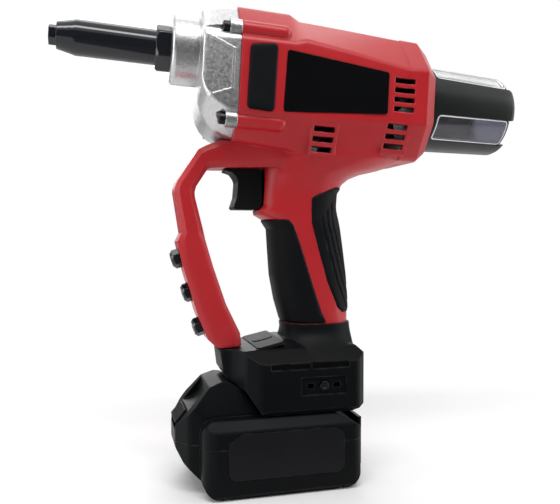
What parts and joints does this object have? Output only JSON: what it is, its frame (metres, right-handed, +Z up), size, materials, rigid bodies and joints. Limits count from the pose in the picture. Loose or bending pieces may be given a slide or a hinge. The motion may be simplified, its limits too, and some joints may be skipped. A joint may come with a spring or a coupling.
{
  "type": "battery rivet tool",
  "caption": "Pistol-shaped battery rivet tool with a closed finger guard, steel barrel nose, pulling screw, clear mandrel collector and slide-on battery.",
  "frame": {"origin": "middle of the battery's flat underside, below the middle of its main block, on the tool's centre plane", "axes": "+Z up from the battery's underside, -X towards the nose, +Y towards the user's right hand side"},
  "size_m": [0.3017, 0.0796, 0.2971],
  "materials": {
    "red_shell": "fine moulded grain",
    "cast_metal": "satin die casting",
    "dark_steel": "black oxide, oiled",
    "bright_steel": "machined",
    "soft_grip": "matt overmoulded rubber",
    "black_plastic": "fine moulded grain",
    "panel_plastic": "smooth",
    "clear_plastic": "clear polycarbonate",
    "circuit_board": "solder mask",
    "cell_wrap": "printed sleeve"
  },
  "bodies": {
    "tool": {"housing_left": "red_shell", "housing_right": "red_shell", "housing_screws": "bright_steel", "gear_housing": "cast_metal", "gear_housing_screws": "bright_steel", "gear_cover": "cast_metal", "nose_housing": "dark_steel", "nose_lock_nut": "dark_steel", "nosepiece": "dark_steel", "spare_nosepieces": "dark_steel", "side_bumper_left": "soft_grip", "side_bumper_right": "soft_grip", "name_plate": "panel_plastic", "grip_front_left": "soft_grip", "grip_front_right": "soft_grip", "grip_rear_left": "soft_grip", "grip_rear_right": "soft_grip", "base_left": "black_plastic", "base_right": "black_plastic", "base_screws": "bright_steel", "hook_screw": "bright_steel", "control_panel": "panel_plastic", "control_board": "circuit_board", "terminal_block": "black_plastic", "trigger_switch": "black_plastic", "motor_can": "bright_steel", "gearbox": "cast_metal", "nut_front_bearing": "bright_steel", "nut_rear_bearing": "bright_steel", "mandrel_tube": "bright_steel"},
    "trigger": {"trigger": "black_plastic"},
    "panel_button": {"panel_button": "panel_plastic"},
    "battery": {"battery_lower_case": "black_plastic", "battery_upper_case": "black_plastic", "battery_cells": "cell_wrap", "cell_holders": "black_plastic", "battery_board": "circuit_board", "battery_screws": "bright_steel", "battery_plate": "panel_plastic"},
    "battery_button": {"battery_button": "black_plastic"},
    "nut": {"screw_nut": "bright_steel", "nut_gear": "bright_steel"},
    "pulling_unit": {"pulling_screw": "bright_steel", "jaw_case": "bright_steel", "jaws": "bright_steel", "jaw_pusher": "bright_steel", "jaw_spring": "bright_steel"},
    "pinion": {"drive_pinion": "bright_steel"},
    "rotor": {"motor_rotor": "bright_steel", "motor_fan": "black_plastic"},
    "collector": {"collector_sleeve": "black_plastic", "collector_cup": "clear_plastic", "collector_seal": "soft_grip"}
  },
  "joints": [
    {"name": "trigger_pull", "type": "slide", "parent": "tool", "child": "trigger", "axis": [1, 0, 0], "range_m": [0, 0.006], "stiffness_N_per_m": 1000},
    {"name": "panel_press", "type": "slide", "parent": "tool", "child": "panel_button", "axis": [0.215, 0, -0.9766], "range_m": [0, 0.0008], "stiffness_N_per_m": 2500},
    {"name": "battery_slide", "type": "slide", "parent": "tool", "child": "battery", "axis": [-1, 0, 0], "range_m": [0, 0.09]},
    {"name": "battery_release", "type": "slide", "parent": "battery", "child": "battery_button", "axis": [0.7579, 0, -0.6524], "range_m": [0, 0.0025], "stiffness_N_per_m": 2000},
    {"name": "nut_turn", "type": "hinge", "parent": "tool", "child": "nut", "pos_m": [-0.027, 0, 0.2707], "axis": [0.9986, 0, -0.0523], "range_deg": [0, 1800]},
    {"name": "pull_stroke", "type": "slide", "parent": "tool", "child": "pulling_unit", "axis": [0.9986, 0, -0.0523], "range_m": [0, 0.02501]},
    {"name": "pinion_turn", "type": "hinge", "parent": "tool", "child": "pinion", "pos_m": [-0.02834, 0, 0.24513], "axis": [0.9986, 0, -0.0523], "range_deg": [-6428.67, 0.1]},
    {"name": "rotor_turn", "type": "hinge", "parent": "tool", "child": "rotor", "pos_m": [-0.02834, 0, 0.24513], "axis": [0.9986, 0, -0.0523], "range_deg": [-25714.38, 0.1]},
    {"name": "collector_off", "type": "slide", "parent": "tool", "child": "collector", "axis": [0.9986, 0, -0.0523], "range_m": [0, 0.08]}
  ],
  "couplings": [
    {"joint": "pull_stroke", "follows": "nut_turn", "m_per_rad": 0.00079577},
    {"joint": "pinion_turn", "follows": "nut_turn", "ratio": -3.5714},
    {"joint": "rotor_turn", "follows": "nut_turn", "ratio": -14.286}
  ]
}
